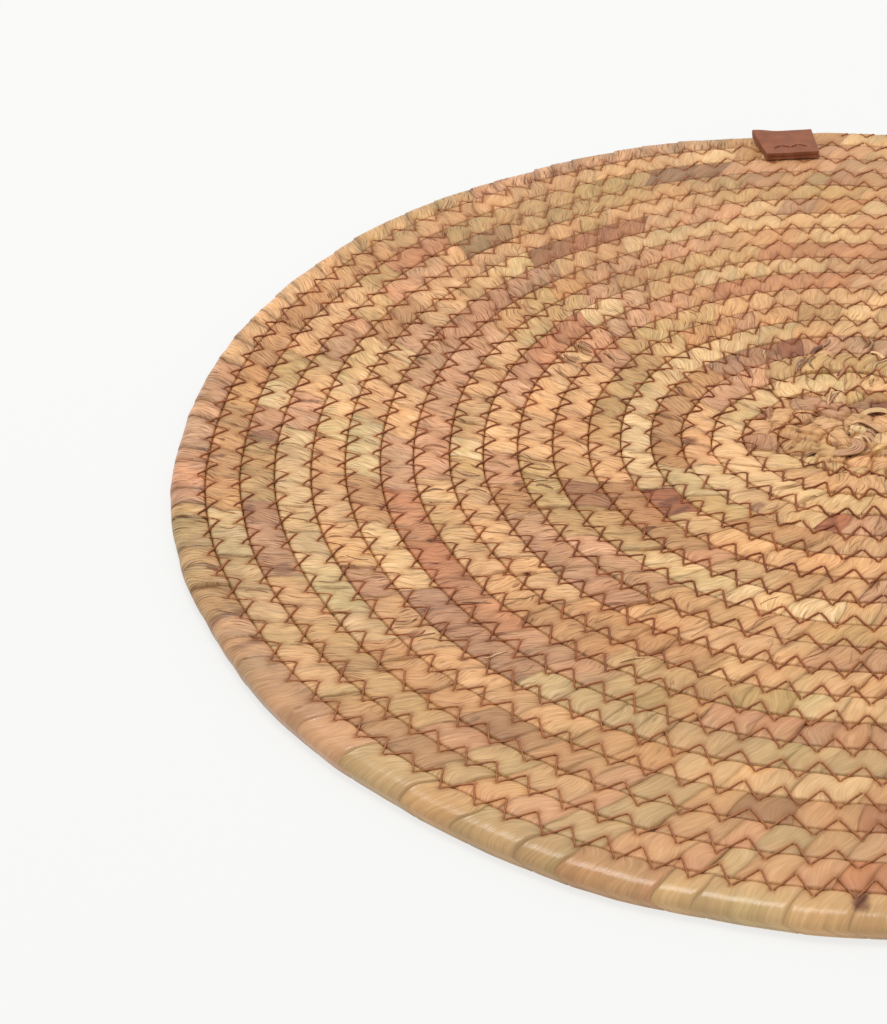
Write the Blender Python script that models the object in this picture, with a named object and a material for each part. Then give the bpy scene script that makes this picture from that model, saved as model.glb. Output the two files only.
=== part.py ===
"""A round water hyacinth placemat: one flattened cord coiled into a flat disc, with a folded leather tab at its rim.

Run it with blender --background --python part.py, or from Blender's text editor.
Metres, +Z up. The origin is the centre of the coil, on the underside that lies on the table.
Angles are in degrees and run anticlockwise from +X, seen from above.
"""

import math

import bmesh
import bpy
from mathutils import Vector

# The coil: each turn of the cord lies against the one before it.
PITCH = 0.0095          # from one turn to the next, which is the cord's width
FULL_TURNS = 19         # whole turns outside the centre knot
CORD_HEIGHT = 0.0062    # thickness of the mat, from the table to a turn's crest
SEAM_ANGLE = 268.5      # where the n-th seam is n pitches from the centre
END_ANGLE = 99.5        # where the cord ends, under the leather tab

# The section of one turn, as (share of its width, share of its height).
TOP_SECTION = ((0.0, 0.74), (0.2, 0.94), (0.5, 1.0), (0.8, 0.94))
UNDER_SECTION = ((0.0, 0.19), (0.25, 0.0), (0.75, 0.0))
RIM_BULGE = 0.035       # share of the pitch by which the free rim stands out past its last seam

# The end of the cord thins out, so that the outline stays nearly round.
TAPER_START = 280.0     # degrees past END_ANGLE at which the last turn starts to narrow
TAPER_WIDTH = 0.22      # share of the pitch that is left at the very end

# How uneven the hand-coiled mat is.
OUTLINE_WAVES = ((3, 0.00030, 40.0), (7, 0.00026, 110.0), (13, 0.00020, 15.0))
CREST_DIP = 0.00030     # deepest dip of a crest below CORD_HEIGHT
STEPS_PER_TURN = 42

# The leather tab: a strip folded in half, fold outwards, on top of the last two turns.
TAB_INNER_RADIUS = 0.1647   # where the middle of its inner end is
TAB_ANGLE = 99.5
TAB_DIRECTION = 102.0   # it is sewn on a little askew
TAB_WIDTH = 0.0184
TAB_DEPTH = 0.0172
LEATHER = 0.0010
TAB_SLIT = 0.00035      # air between the two layers
FOLD_STEPS = 8
SEAT_GAP = 0.0003       # clearance that touching solids keep

HYACINTH_COLOUR = (0.56, 0.35, 0.17, 1.0)
LEATHER_COLOUR = (0.30, 0.13, 0.075, 1.0)


def clear_scene():
    for obj in list(bpy.data.objects):
        bpy.data.objects.remove(obj)


def make_material(name, colour, roughness):
    material = bpy.data.materials.new(name)
    material.use_nodes = True
    shader = material.node_tree.nodes["Principled BSDF"]
    shader.inputs["Base Color"].default_value = colour
    shader.inputs["Roughness"].default_value = roughness
    shader.inputs["Metallic"].default_value = 0.0
    return material


def smoothstep(value):
    value = min(max(value, 0.0), 1.0)
    return value * value * (3.0 - 2.0 * value)


def turns_to_seam(turn, share):
    """Turns from the centre to the seam inside a turn, at a share of one turn past END_ANGLE."""
    return turn + share + (END_ANGLE - SEAM_ANGLE) / 360.0


def width_share(turn, share):
    """Share of the full pitch that the cord has there: it narrows only in the last turn."""
    if turn < FULL_TURNS:
        return 1.0
    past = (share * 360.0 - TAPER_START) / (360.0 - TAPER_START)
    return 1.0 + (TAPER_WIDTH - 1.0) * smoothstep(past)


def outline_wave(angle, turns):
    """The small in and out of the outline, which fades towards the centre."""
    wave = sum(size * math.sin(math.radians(count * angle + phase)) for count, size, phase in OUTLINE_WAVES)
    return wave * turns / (FULL_TURNS + 1.0)


def crest_dip(angle, turns):
    """How far a turn sags below the full height, so that the top is a little uneven."""
    swing = math.sin(math.radians(2.0 * angle + 151.0 * turns)) * math.sin(math.radians(5.0 * angle + 67.0 * turns))
    return CREST_DIP * (0.5 + 0.5 * swing)


def coil_point(turn, share, across, height, upper):
    """A point of the coil: turn and share say how far along it, across and height are shares of the section."""
    angle = END_ANGLE + 360.0 * share
    seam = turns_to_seam(turn, share)
    turns = seam + across * width_share(turn, share)
    radius = PITCH * turns + outline_wave(angle, turns)
    z = CORD_HEIGHT * height
    if upper:
        z -= crest_dip(angle, turns)
    return Vector((radius * math.cos(math.radians(angle)), radius * math.sin(math.radians(angle)), z))


def section_rows():
    """The mat's whole section as a list of (turn, across, height, upper), from the centre over the rim and back."""
    rows = []
    for turn in range(1, FULL_TURNS + 1):
        rows += [(turn, across, height, True) for across, height in TOP_SECTION]
    rows.append((FULL_TURNS, 1.0, TOP_SECTION[0][1], True))
    mid_height = (TOP_SECTION[0][1] + UNDER_SECTION[0][1]) / 2.0
    rows.append((FULL_TURNS, 1.0 + RIM_BULGE, mid_height, False))
    rows.append((FULL_TURNS, 1.0, UNDER_SECTION[0][1], False))
    for turn in range(FULL_TURNS, 0, -1):
        rows += [(turn, across, height, False) for across, height in reversed(UNDER_SECTION)]
    return rows


def boundary_loop_at(bm, corner):
    """The open edges that run on from the open edge nearest to a point, as one closed loop."""
    open_edges = [edge for edge in bm.edges if edge.is_boundary]
    first = min(open_edges, key=lambda e: ((e.verts[0].co + e.verts[1].co) / 2.0 - corner).length)
    loop, reached = [first], {first}
    ends = list(first.verts)
    while ends:
        vert = ends.pop()
        for edge in vert.link_edges:
            if edge.is_boundary and edge not in reached:
                reached.add(edge)
                loop.append(edge)
                ends.append(edge.other_vert(vert))
    return loop


def close_centre(bm, z):
    """Closes the hole in the middle of one side with a narrow slope up or down to a flat patch, the centre knot."""
    loop = boundary_loop_at(bm, Vector((0.0, 0.0, z)))
    face = bmesh.ops.contextual_create(bm, geom=loop)["faces"][0]
    bmesh.ops.inset_region(bm, faces=[face], thickness=0.22 * PITCH, use_even_offset=True)
    for vert in face.verts:
        vert.co.z = z


def make_coiled_mat(material):
    """A grid wrapped round the coil: one way along each turn, the other way over the section."""
    rows = section_rows()
    bm = bmesh.new()
    bmesh.ops.create_grid(bm, x_segments=STEPS_PER_TURN, y_segments=len(rows) - 1, size=1.0)
    for vert in bm.verts:
        share = (vert.co.x + 1.0) / 2.0
        turn, across, height, upper = rows[round((vert.co.y + 1.0) / 2.0 * (len(rows) - 1))]
        vert.co = coil_point(turn, share, across, height, upper)
    # The end of each turn is the start of the next one.
    bmesh.ops.remove_doubles(bm, verts=bm.verts, dist=1e-5)
    close_centre(bm, CORD_HEIGHT - CREST_DIP)
    close_centre(bm, 0.0)
    cord_end = [edge for edge in bm.edges if edge.is_boundary]
    bmesh.ops.contextual_create(bm, geom=cord_end)
    bmesh.ops.triangulate(bm, faces=bm.faces)
    bmesh.ops.recalc_face_normals(bm, faces=bm.faces)
    mesh = bpy.data.meshes.new("coiled_mat")
    bm.to_mesh(mesh)
    bm.free()
    mesh.shade_smooth()
    mesh.set_sharp_from_angle(angle=math.radians(50.0))
    mesh.materials.append(material)
    return bpy.data.objects.new("coiled_mat", mesh)


def arc(centre_x, centre_y, radius, start, end, steps):
    """Points on an arc, angles in degrees."""
    angles = [math.radians(start + (end - start) * i / steps) for i in range(steps + 1)]
    return [(centre_x + radius * math.cos(a), centre_y + radius * math.sin(a)) for a in angles]


def tab_outline():
    """The side view of the folded strip: a hairpin lying on its side, its two ends at x = 0."""
    thickness = 2.0 * LEATHER + TAB_SLIT
    outer = thickness / 2.0
    inner = TAB_SLIT / 2.0
    fold_x = TAB_DEPTH - outer
    outside = arc(fold_x, outer, outer, -90.0, 90.0, FOLD_STEPS)
    inside = arc(fold_x, outer, inner, 90.0, -90.0, FOLD_STEPS // 2)
    return [(0.0, 0.0), *outside, (0.0, thickness), (0.0, thickness - LEATHER), *inside, (0.0, LEATHER)]


def make_leather_tab(material):
    """The hairpin outline drawn as wide as the tab, standing on the mat's crests."""
    curve = bpy.data.curves.new("leather_tab", "CURVE")
    curve.dimensions = "2D"
    curve.fill_mode = "BOTH"
    curve.extrude = TAB_WIDTH / 2.0
    points = tab_outline()
    spline = curve.splines.new("POLY")
    spline.points.add(len(points) - 1)
    for point, (x, y) in zip(spline.points, points):
        point.co = (x, y, 0.0, 1.0)
    spline.use_cyclic_u = True
    curve.materials.append(material)
    tab = bpy.data.objects.new("leather_tab", curve)
    angle = math.radians(TAB_ANGLE)
    inner_end = Vector((math.cos(angle), math.sin(angle), 0.0)) * TAB_INNER_RADIUS
    tab.rotation_euler = (math.pi / 2.0, 0.0, math.radians(TAB_DIRECTION))
    tab.location = inner_end + Vector((0.0, 0.0, CORD_HEIGHT + SEAT_GAP))
    return tab


def build():
    clear_scene()
    collection = bpy.data.collections.new("Water hyacinth placemat")
    bpy.context.scene.collection.children.link(collection)
    hyacinth = make_material("hyacinth", HYACINTH_COLOUR, 0.65)
    leather = make_material("leather", LEATHER_COLOUR, 0.5)
    mat = make_coiled_mat(hyacinth)
    tab = make_leather_tab(leather)
    for obj in (mat, tab):
        collection.objects.link(obj)


build()
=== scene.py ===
"""The looks of a round water hyacinth placemat: a wrapped cord, coiled flat and sewn, and a leather tab.

Lengths are in metres, in the shared frame: +Z up, the mat lying on Z = 0 and the coil's centre at X = Y = 0.
Angles are in degrees and run anticlockwise from +X, seen from above.

A place on the mat is (turns, across). turns counts the cord's turns from the centre, and PITCH * turns is
the radius of the seam on the cord's inner side. across runs from 0 at that seam to 1 at the outer side's.
A row is the turn that starts at a whole number of turns. A fibre is named by its place, the length along the
cord's middle where it crosses that middle. side is the distance from the middle, outwards.
"""

import math

import bpy
import numpy as np
from mathutils import Matrix, Vector


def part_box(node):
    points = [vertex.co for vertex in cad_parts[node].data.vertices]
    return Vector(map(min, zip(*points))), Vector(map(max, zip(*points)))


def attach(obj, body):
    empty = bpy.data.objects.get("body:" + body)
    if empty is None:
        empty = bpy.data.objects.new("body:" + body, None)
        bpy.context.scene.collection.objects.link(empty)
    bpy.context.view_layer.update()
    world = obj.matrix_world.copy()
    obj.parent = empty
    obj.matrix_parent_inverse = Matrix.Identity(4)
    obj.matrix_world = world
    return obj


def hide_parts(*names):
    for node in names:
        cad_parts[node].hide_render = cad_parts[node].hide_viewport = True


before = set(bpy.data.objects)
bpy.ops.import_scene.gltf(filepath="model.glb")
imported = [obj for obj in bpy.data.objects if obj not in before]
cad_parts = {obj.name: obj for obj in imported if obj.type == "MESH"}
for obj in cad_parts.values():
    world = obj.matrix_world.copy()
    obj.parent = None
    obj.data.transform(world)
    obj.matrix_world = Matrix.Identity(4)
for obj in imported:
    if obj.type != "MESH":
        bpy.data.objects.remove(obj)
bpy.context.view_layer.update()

MAT_LOW, MAT_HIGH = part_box("coiled_mat")
TAB_LOW, TAB_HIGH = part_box("leather_tab")

# The coil, as in the solid that it replaces.
PITCH = 0.0095
HEIGHT = MAT_HIGH[2] - MAT_LOW[2]
SEAM_ANGLE = 268.5  # where a seam's number of turns is whole
ALL_TURNS = 20.0
END_ANGLE = 99.5  # where the cord ends, behind the leather tab
END_TURNS = ALL_TURNS + (END_ANGLE - SEAM_ANGLE) / 360.0
TAPER_TURNS = 0.222  # the share of a turn over which the cord's end thins out
TAPER_WIDTH = 0.22  # the share of PITCH that is left at its end
TAPER_HEIGHT = 0.55  # and the share of HEIGHT
TIGHT_TURNS = 0.4  # the spiral is a little longer below this many turns
FIRST_TURNS = -0.86  # the cord starts as a point in the middle
COIL_PIECES = (
    ("coil_inner", FIRST_TURNS, 11.2),
    ("coil_middle", 11.2, 15.1),
    ("coil_outer", 15.1, END_TURNS),
)

# How a hand-guided cord wavers: size, step along the cord and seed.
SEAM_WAVES = ((0.00022, 0.021, 1), (0.00030, 0.062, 2))
UNTIDY_WAVES = ((0.0008, 0.011, 5),)
RIM_WAVES = ((0.00032, 0.013, 3), (0.00016, 0.005, 4))
OUTLINE_WAVES = ((3, 0.00030, 40.0), (7, 0.00026, 110.0), (13, 0.00020, 15.0))  # count, size and phase
SEAM_BULGE = (0.0045, 194.0, 34.0)  # of the inner turns to the left: size, angle and width in degrees
RIM_BULGE = (0.0007, 230.0, 9.0)

# The cord's section and the mesh over it.
PRESSED_POWER = 8.0  # of the superellipse where the cord is pressed between its neighbours
SNUG = 1.03  # the cord's width as a share of PITCH, pressed into its neighbours
RIM_SHARES = (0.0, 0.20, 0.38, 0.55, 0.70, 0.83, 0.93, 1.0)  # of the half width, from the middle to the rim
RIM_HEIGHTS = (1.0, 0.985, 0.94, 0.86, 0.73, 0.55, 0.35, 0.0)  # and the upper surface's height there
RIM_DEPTHS = (1.0, 1.0, 1.0, 0.98, 0.94, 0.88, 0.78, 0.0)  # and how deep the lower surface is
FLAT_UNDER = 1.04  # how far the lower surface would reach below the table, were it not flat there
TOP_STEPS = 14
UNDER_STEPS = 5
ALONG_STEP = 0.00104
MIDDLE_STEP = 0.00055  # and where the coil's middle is crumpled
EDGE_STEP = 0.00008  # from one wrap's last ring of points to the next wrap's first
TABLE_STEPS = 60000  # for values that are looked up along the coil

# The wrapping: flat stalks laid round the cord at a slant.
WRAP_WIDTH = (0.006, 0.016)
WRAP_SLANT = 0.47  # how far along the cord a fibre runs for each metre across it
SLANT_WAVES = ((0.22, 0.045, 31),)
WRAP_STEP = 0.00018  # the edge of one wrap over the next
WRAP_RISE = 0.00011  # how far a wrap lies above or below the others
NEAR_RIM_ANGLE = 215.0  # from here on the last row's wraps are wider
STALK_LENGTH = (0.018, 0.085)
SWELLS = ((0.00016, 0.034, 41), (0.00008, 0.009, 42))
SETTLED = 0.00012  # how far the upper surface lies below the solid's, on average
GAP_DEPTH = 0.0011  # of a crack between two wraps
GAP_WIDTH = 0.0009
GAP_LENGTH = 0.0030
GAP_SHIFT = 0.0025  # how far off the cord's middle it may be

# The sewing.
STITCH_INNER = 0.0068  # one zigzag of the thread at the centre
STITCH_OUTER = 0.0097  # and at the rim
STITCH_WAVES = ((0.10, 0.09, 11),)
STITCH_SCATTER = 0.07  # of each corner along the seam, as a share of a zigzag
LEAN = 0.46  # where the outer corner is between two inner ones
LEAN_LEFT = (0.15, 203.0, 34.0)  # and more so at the left
LEAN_WAVES = ((0.05, 9.0, 13),)
REACH_INWARDS = 0.0035  # how far the thread reaches from a seam towards the centre
REACH_OUTWARDS = 0.0025  # and away from it
REACH_NEAR = (0.12, 260.0, 16.0)  # how much more it is at the near side
REACH_SCATTER = (0.82, 1.12)
FIRST_SEAM = 1.5
THREAD_END = 0.012  # in turns, before the cord's end
THREAD_RADIUS = 0.00029
THREAD_SAG = 0.00014  # how far a leg dips into the groove that it crosses
UNDER_RISE = 0.0016  # how far each corner goes up into the cord from below
PINCH = (0.00020, 0.00065)  # of the cord along the thread: depth and half width
CORNER_PINCH = (0.00034, 0.0006)
BROAD_PINCH = 0.0019
UNDER_PINCH = (0.0007, 0.00085)
UNDER_EDGE = (0.00020, 0.0006)
UNDER_LIFT = 0.00012  # how far a wrap may lie above the table
GATHER = 0.0021  # how near to a stitch's corner the fibres bend towards it

# The crumpled middle.
LUMP_ROWS = 9
LUMP_PITCH = 0.0068
LUMP_SCATTER = 0.0026
LUMP_HEIGHT = 0.0012
LUMP_ROUND = 0.0012  # how wide the rounding towards its creases is
CREASE_DEPTH = 0.0008
LUMP_RISE = 0.0005  # how far a lump lies above or below the others
HOLLOW_DEPTH = 0.0010

# Hollows in the middle, sunk in and darkened with painted shade: place and half size along X, and along Y.
HOLLOWS = (
    ((-0.0048, 0.0015), (-0.0060, 0.0013)),
    ((0.0031, 0.0011), (-0.0056, 0.0024)),
    ((-0.0004, 0.0016), (-0.0006, 0.0008)),
    ((-0.0035, 0.0040), (-0.0140, 0.0007)),
    ((-0.0104, 0.0030), (-0.0088, 0.0007)),
)

# The leather tab.
TAB_DIRECTION = 102.0
TAB_WIDTH = 0.0184
TAB_DEPTH = 0.0172
TAB_INNER_RADIUS = 0.1647
LEATHER = 0.00108  # how thick it is
TAB_CURL = 0.0007  # of its outer left corner
TAB_SKEW = (0.0026, -0.0011, 0.0003)  # of its left side by depth and in all, and of its right side
TAB_STITCHES = ((-2, 0.0037), (-1, 0.0054), (0, 0.0039), (1, 0.0055), (2, 0.0038))  # across, and depth
TAB_STITCH_WIDTH = 0.0029
TAB_THREAD_RADIUS = 0.00022
TAB_THREAD_RISE = 0.00014
TAB_STITCH_DEPTH = 0.0004

# The camera, matched to the photograph's view of the rim and of the turns.
CAMERA_DISTANCE = 0.7022
CAMERA_ELEVATION = 33.338
CAMERA_LENS = 88.38  # millimetres, for a sensor 36 mm high
CAMERA_PAN = -9.180
CAMERA_TILT = 1.963
CAMERA_ROLL = -3.772


# Numbers that wander or scatter, the same ones each time.

def smoothstep(low, high, x):
    """0 up to low and 1 from high, or the other way round where low is the higher."""
    share = np.clip((x - low) / (high - low), 0.0, 1.0)
    return share * share * (3.0 - 2.0 * share)


def wander(x, step, seed):
    """A smooth random line from -1 to 1, with a new value every step."""
    knots = np.random.default_rng(seed).uniform(-1.0, 1.0, 2048)
    cell = np.floor(x / step).astype(int)
    share = smoothstep(0.0, 1.0, x / step - cell)
    return knots[cell % len(knots)] * (1.0 - share) + knots[(cell + 1) % len(knots)] * share


def waves(x, table):
    """Smooth random lines together, each with its size, step and seed."""
    return sum(size * wander(x, step, seed) for size, step, seed in table)


def mottle(x, y, step_x, step_y, seed):
    """A smooth random surface from -1 to 1."""
    table = np.random.default_rng(seed).uniform(-1.0, 1.0, (256, 256))
    x, y = x / step_x, y / step_y
    cell_x, cell_y = np.floor(x).astype(int), np.floor(y).astype(int)
    share_x, share_y = smoothstep(0.0, 1.0, x - cell_x), smoothstep(0.0, 1.0, y - cell_y)
    lines = []
    for column in (cell_x % 256, (cell_x + 1) % 256):
        low, high = table[column, cell_y % 256], table[column, (cell_y + 1) % 256]
        lines.append(low * (1.0 - share_y) + high * share_y)
    return lines[0] * (1.0 - share_x) + lines[1] * share_x


def dapple(place, side, step_along, step_aside, seed):
    """The same over the cord's surface."""
    return mottle(place, side + 0.3, step_along, step_aside, seed)


def bump_at(x, centre, width):
    return np.exp(-((x - centre) / width) ** 2)


def fade(distance, size, reach):
    """As much as size where the distance is nothing, and less further off."""
    return size * bump_at(distance, 0.0, reach)


def bulge(angle, size, centre, width):
    """As much as size at one angle of every row, and less further off."""
    return size * bump_at(angle % 360.0, centre, width)


# The coil's plan.

def length_at(turns):
    """Length along a spiral whose radius is PITCH times turns, a little more where it is tightest."""
    root = np.sqrt(turns**2 + TIGHT_TURNS**2)
    return math.pi * PITCH * (turns * root + TIGHT_TURNS**2 * np.arcsinh(turns / TIGHT_TURNS))


def place_at(turns):
    """Length along the cord's middle, where its inner seam is at turns."""
    return length_at(turns + 0.5)


def turns_at(place):
    """The other way round."""
    turns = np.linspace(-1.2, ALL_TURNS + 0.5, TABLE_STEPS)
    return np.interp(place, place_at(turns), turns)


def turns_of(row, angle):
    """The number of turns at an angle of a row."""
    return row + (angle - SEAM_ANGLE) / 360.0


def angle_at(turns):
    return SEAM_ANGLE + 360.0 * turns


def untidy_at(turns):
    """How untidy the coil is: 1 in the middle, where it was started, and 0 past its seventh turn."""
    return 1.0 - smoothstep(3.0, 7.0, turns)


def middle_at(turns):
    """1 where the coil's first turns are crumpled together, and 0 past them."""
    return 1.0 - smoothstep(1.2, 2.2, turns)


def even_by(y):
    """How even the stalks and the thread look: 0 over most of the mat, more towards its far and near rims."""
    return np.maximum(smoothstep(-0.06, -0.16, y), 0.75 * smoothstep(0.03, 0.12, y))


def even_at(turns):
    return even_by(PITCH * (turns + 0.5) * np.sin(np.radians(angle_at(turns))))


def free_at(turns):
    """1 on the cord's last turn, whose outer side is the rim, and 0 before it."""
    return smoothstep(END_TURNS - 1.02, END_TURNS - 0.98, turns)


def rugged_at(turns):
    """1 on the rim where its wraps are short and stand apart, and 0 elsewhere."""
    return free_at(turns) * smoothstep(222.0, 206.0, angle_at(turns) % 360.0)


def glossy_at(turns):
    """1 on the near part of the rim, where its wraps are smooth, and 0 elsewhere."""
    return free_at(turns) * smoothstep(213.0, 223.0, angle_at(turns) % 360.0)


def taper_at(turns):
    """0 along the coil, and up to 1 at the cord's thin end."""
    return smoothstep(END_TURNS - TAPER_TURNS, END_TURNS, turns)


def seam_radius(turns):
    """The radius of the seam on the cord's inner side."""
    along = length_at(turns)
    angle = angle_at(turns)
    wave = waves(along, SEAM_WAVES) + waves(along, UNTIDY_WAVES) * untidy_at(turns)
    wave = wave + bulge(angle, *SEAM_BULGE) * smoothstep(7.2, 3.0, turns)
    outline = sum(size * np.sin(np.radians(count * angle + phase)) for count, size, phase in OUTLINE_WAVES)
    wave = wave + outline * turns / ALL_TURNS
    return PITCH * np.maximum(turns, 0.03) + wave * smoothstep(0.5, 2.0, turns)


def rim_radius(turns):
    """The radius of the cord's outer side where nothing lies against it."""
    past = taper_at(turns)
    width = PITCH * (1.0 + (TAPER_WIDTH - 1.0) * past)
    lumps = waves(length_at(turns), RIM_WAVES) + bulge(angle_at(turns), *RIM_BULGE)
    return seam_radius(turns) + width + lumps * (1.0 - past)


def side_radii(turns):
    """The radii of both sides of the cord."""
    inner = seam_radius(turns)
    free = free_at(turns)
    outer = seam_radius(turns + 1.0) * (1.0 - free) + rim_radius(turns) * free
    return inner, outer


def place_on_plan(turns, across):
    inner, outer = side_radii(turns)
    radius = inner + (outer - inner) * across
    angle = np.radians(angle_at(turns))
    return radius * np.cos(angle), radius * np.sin(angle)


# The zigzag: its corners are numbered along the thread, even ones inside the seam and odd ones outside it.

def stitch_corners():
    """Each corner's place along the seam, in turns, and its distance from the seam."""
    turns = np.linspace(FIRST_SEAM, END_TURNS - THREAD_END, TABLE_STEPS)
    along = length_at(turns)
    zigzag = STITCH_INNER + (STITCH_OUTER - STITCH_INNER) * (turns / ALL_TURNS) ** 0.7
    zigzag *= 1.0 + waves(along, STITCH_WAVES)
    count = np.concatenate(([0.0], np.cumsum(np.diff(along) / zigzag[1:])))
    numbers = np.arange(int(count[-1]) + 1.0)
    chance = np.random.default_rng(12)
    inside = numbers + chance.uniform(-STITCH_SCATTER, STITCH_SCATTER, len(numbers))
    lean = LEAN + bulge(np.interp(numbers, count, angle_at(turns)), *LEAN_LEFT) + waves(numbers, LEAN_WAVES)
    outside = numbers + lean + chance.uniform(-STITCH_SCATTER, STITCH_SCATTER, len(numbers))
    order = np.stack([inside, outside], 1).ravel()[:-1]
    corner_turns = np.interp(order, count, turns)
    reach = chance.uniform(*REACH_SCATTER, len(order)) * np.interp(order, (0.0, 60.0), (0.8, 1.0))
    inward = REACH_INWARDS * (1.0 + bulge(angle_at(corner_turns), *REACH_NEAR))
    inner, outer = side_radii(corner_turns)
    outward = np.minimum(REACH_OUTWARDS * reach, 0.62 * (outer - inner))
    return corner_turns, np.where(np.arange(len(order)) % 2 == 0, -inward * reach, outward)


CORNER_TURNS, CORNER_SIDE = stitch_corners()
CORNER_ALONG = length_at(CORNER_TURNS)
FAR = 1.0  # a distance that is past everything


def to_thread(turns, side):
    """By the seam at turns: the distance to the thread, and to its nearest corner, in all and along."""
    along = length_at(turns)
    first = np.searchsorted(CORNER_TURNS, turns) - 1
    thread = np.full(turns.shape, FAR)
    corner = np.full(turns.shape, FAR)
    corner_along = np.zeros(turns.shape)
    for leg in (first - 1, first, first + 1):
        leg = np.clip(leg, 0, len(CORNER_TURNS) - 2)
        off_along, off_side = along - CORNER_ALONG[leg], side - CORNER_SIDE[leg]
        run_along = CORNER_ALONG[leg + 1] - CORNER_ALONG[leg]
        run_side = CORNER_SIDE[leg + 1] - CORNER_SIDE[leg]
        share = (off_along * run_along + off_side * run_side) / (run_along**2 + run_side**2)
        share = np.clip(share, 0.0, 1.0)
        thread = np.minimum(thread, np.hypot(off_along - share * run_along, off_side - share * run_side))
        distance = np.hypot(off_along, off_side)
        corner_along = np.where(distance < corner, off_along, corner_along)
        corner = np.minimum(distance, corner)
    sewn = (turns > CORNER_TURNS[0] - 0.02) & (turns < CORNER_TURNS[-1] + 0.005)
    return np.where(sewn, thread, FAR), np.where(sewn, corner, FAR), np.where(sewn, corner_along, 0.0)


def to_sewing(turns, across):
    """On the cord: how far the thread and its nearest corner are, and how the fibres gather there."""
    seams = to_thread(turns, across * PITCH), to_thread(turns + 1.0, (across - 1.0) * PITCH)
    thread = np.minimum(seams[0][0], seams[1][0])
    corner = np.minimum(seams[0][1], seams[1][1])
    gather = sum(along * bump_at(distance, 0.0, GATHER) for _, distance, along in seams)
    return thread, corner, gather


# The wrapping: where each wrap starts along the cord, and what it looks like.

def wrap_edges():
    """On the near part of the rim every third edge is left out."""
    chance = np.random.default_rng(21)
    edges = length_at(FIRST_TURNS) - 0.05 + np.cumsum(chance.uniform(*WRAP_WIDTH, 1400))
    on_near_rim = edges > place_at(turns_of(19, NEAR_RIM_ANGLE))
    return edges[~on_near_rim | (np.arange(len(edges)) % 3 != 0)]


WRAPS = wrap_edges()


def for_each_wrap(seed):
    """A random number from -1 to 1 for each wrap."""
    return np.random.default_rng(seed).uniform(-1.0, 1.0, len(WRAPS))


WRAP_LIFT, WRAP_SHADE, WRAP_TILT, WRAP_GAPE, WRAP_ARCH, WRAP_ODD = map(for_each_wrap, range(22, 28))
WRAP_GAPE = np.abs(WRAP_GAPE) ** 7


def wrap_facts(place):
    """The number of the wrap at a place, and its distance from the wrap's two edges."""
    wrap = np.clip(np.searchsorted(WRAPS, place, side="right") - 1, 0, len(WRAPS) - 2)
    return wrap, place - WRAPS[wrap], WRAPS[wrap + 1] - place


def slant_at(place):
    """How slanted the fibres are along the cord."""
    return WRAP_SLANT + waves(place, SLANT_WAVES)


def fibre_along(place, side):
    """Length along the cord at a distance from its middle, on the fibre that crosses the middle at place."""
    return place - slant_at(place) * side + 0.0008 * dapple(place, side, 0.009, 0.005, 32)


def fibre_place(along, side):
    """The other way round, near enough."""
    return along + slant_at(along) * side


def crack(place, side):
    """How far two wraps stand apart: 1 in the deepest gap, and 0 on most of the cord."""
    wrap, before, _ = wrap_facts(place)
    return fade(before, WRAP_GAPE[wrap], GAP_WIDTH) * bump_at(side, GAP_SHIFT * WRAP_TILT[wrap], GAP_LENGTH)


# The crumpled middle: lumps of stalk with creases between them.

def lump_centres():
    grid = (np.arange(LUMP_ROWS) - LUMP_ROWS // 2) * LUMP_PITCH
    grid = np.stack(np.meshgrid(grid, grid), -1).reshape(-1, 2)
    return grid + np.random.default_rng(91).uniform(-LUMP_SCATTER, LUMP_SCATTER, grid.shape)


LUMPS = lump_centres()
LUMP_TURN = np.random.default_rng(92).uniform(0.0, math.pi, len(LUMPS))


def lumps_at(x, y):
    """The number of the lump at a place on the plan, and how far the place is from the crease round it."""
    lump = np.zeros(x.shape, int)
    first, second = np.full(x.shape, FAR), np.full(x.shape, FAR)
    for number, (lump_x, lump_y) in enumerate(LUMPS):
        distance = np.hypot(x - lump_x, y - lump_y)
        lump = np.where(distance < first, number, lump)
        second = np.minimum(second, np.maximum(first, distance))
        first = np.minimum(first, distance)
    return lump, second - first


def hollow_at(x, y):
    """How deep in one of the hollows a place on the plan is."""
    return sum(bump_at(x, *across) * bump_at(y, *up) for across, up in HOLLOWS)


def crumpled(turns, across):
    """How far the crumpled middle is up or down, for places on the cord."""
    height = np.zeros(turns.shape)
    inside = middle_at(turns) > 0.0
    x, y = place_on_plan(turns[inside], across[inside])
    lump, crease = lumps_at(x, y)
    dome = LUMP_HEIGHT * (1.0 - np.exp(-crease / LUMP_ROUND)) - CREASE_DEPTH
    dome += LUMP_RISE * np.sin(7.0 * LUMP_TURN[lump]) - HOLLOW_DEPTH * hollow_at(x, y)
    height[inside] = middle_at(turns[inside]) * dome
    return height


# The cord's surface.

def crown(turns, across, rim=RIM_HEIGHTS):
    """The share of the cord's half height that its section has at a place across it."""
    free = free_at(turns) * (across > 0.5)
    x = np.clip(np.abs(across - 0.5) * 2.0 / (SNUG + (1.0 - SNUG) * free), 0.0, 1.0)
    pressed = (1.0 - x**PRESSED_POWER) ** (1.0 / PRESSED_POWER)
    return pressed * (1.0 - free) + np.interp(x, RIM_SHARES, rim) * free


def tail(turns):
    """The share of the cord's height that is left: 1 along the coil, less in the taper."""
    left = (END_TURNS - turns) * 2.0 * math.pi * PITCH * ALL_TURNS
    return (1.0 - (1.0 - TAPER_HEIGHT) * taper_at(turns)) * np.sqrt(smoothstep(-0.0005, 0.004, left))


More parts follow.
